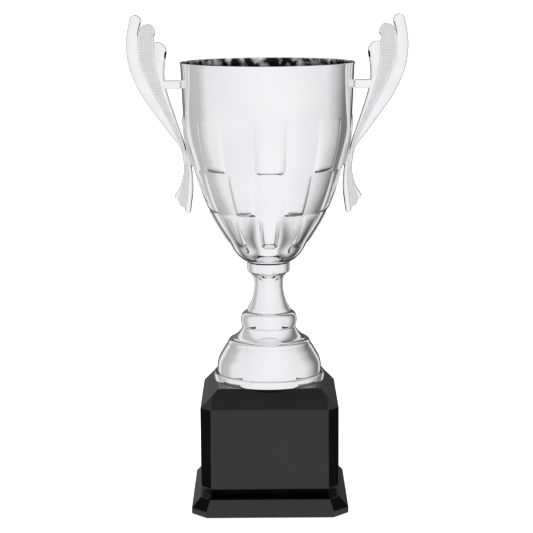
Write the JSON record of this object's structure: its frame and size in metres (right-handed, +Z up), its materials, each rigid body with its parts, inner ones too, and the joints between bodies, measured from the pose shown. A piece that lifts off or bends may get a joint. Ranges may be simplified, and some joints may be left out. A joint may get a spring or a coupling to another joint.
{
  "type": "trophy cup",
  "caption": "Silver-coloured trophy cup with a panelled bowl and two feather-shaped handles, on a turned column and a square black base.",
  "frame": {"origin": "centre of the underside, where the felt pad meets the surface", "axes": "+Z up along the column, front of the base towards -Y, handles towards +X and -X"},
  "size_m": [0.2266, 0.1406, 0.3993],
  "materials": {
    "polished_steel": "pressed sheet steel, bright nickel plated and polished",
    "plated_plastic": "moulded plastic, bright plated",
    "plated_wing": "moulded plastic, bright plated, with a fine textured middle feather",
    "black_plastic": "gloss black moulded plastic",
    "board": "plain hardboard",
    "felt": "pressed black felt",
    "ballast": "rough cast iron",
    "steel_fastener": "zinc plated steel",
    "seal_rubber": "soft black rubber"
  },
  "bodies": {
    "root": {"felt_pad": "felt", "base_board": "board", "base_plinth": "black_plastic", "base_block": "black_plastic", "ballast": "ballast", "plinth_screws": "steel_fastener", "lower_washer": "steel_fastener", "lower_nut": "steel_fastener", "tie_rod": "steel_fastener", "foot_ring": "plated_plastic", "foot_dome": "plated_plastic", "knop": "plated_plastic", "stem": "plated_plastic", "collar": "plated_plastic", "bowl": "polished_steel", "bowl_seal": "seal_rubber", "upper_washer": "steel_fastener", "upper_nut": "steel_fastener", "handle_right": "plated_wing", "handle_left": "plated_wing", "handle_screws": "steel_fastener", "handle_washers": "steel_fastener"}
  },
  "joints": []
}
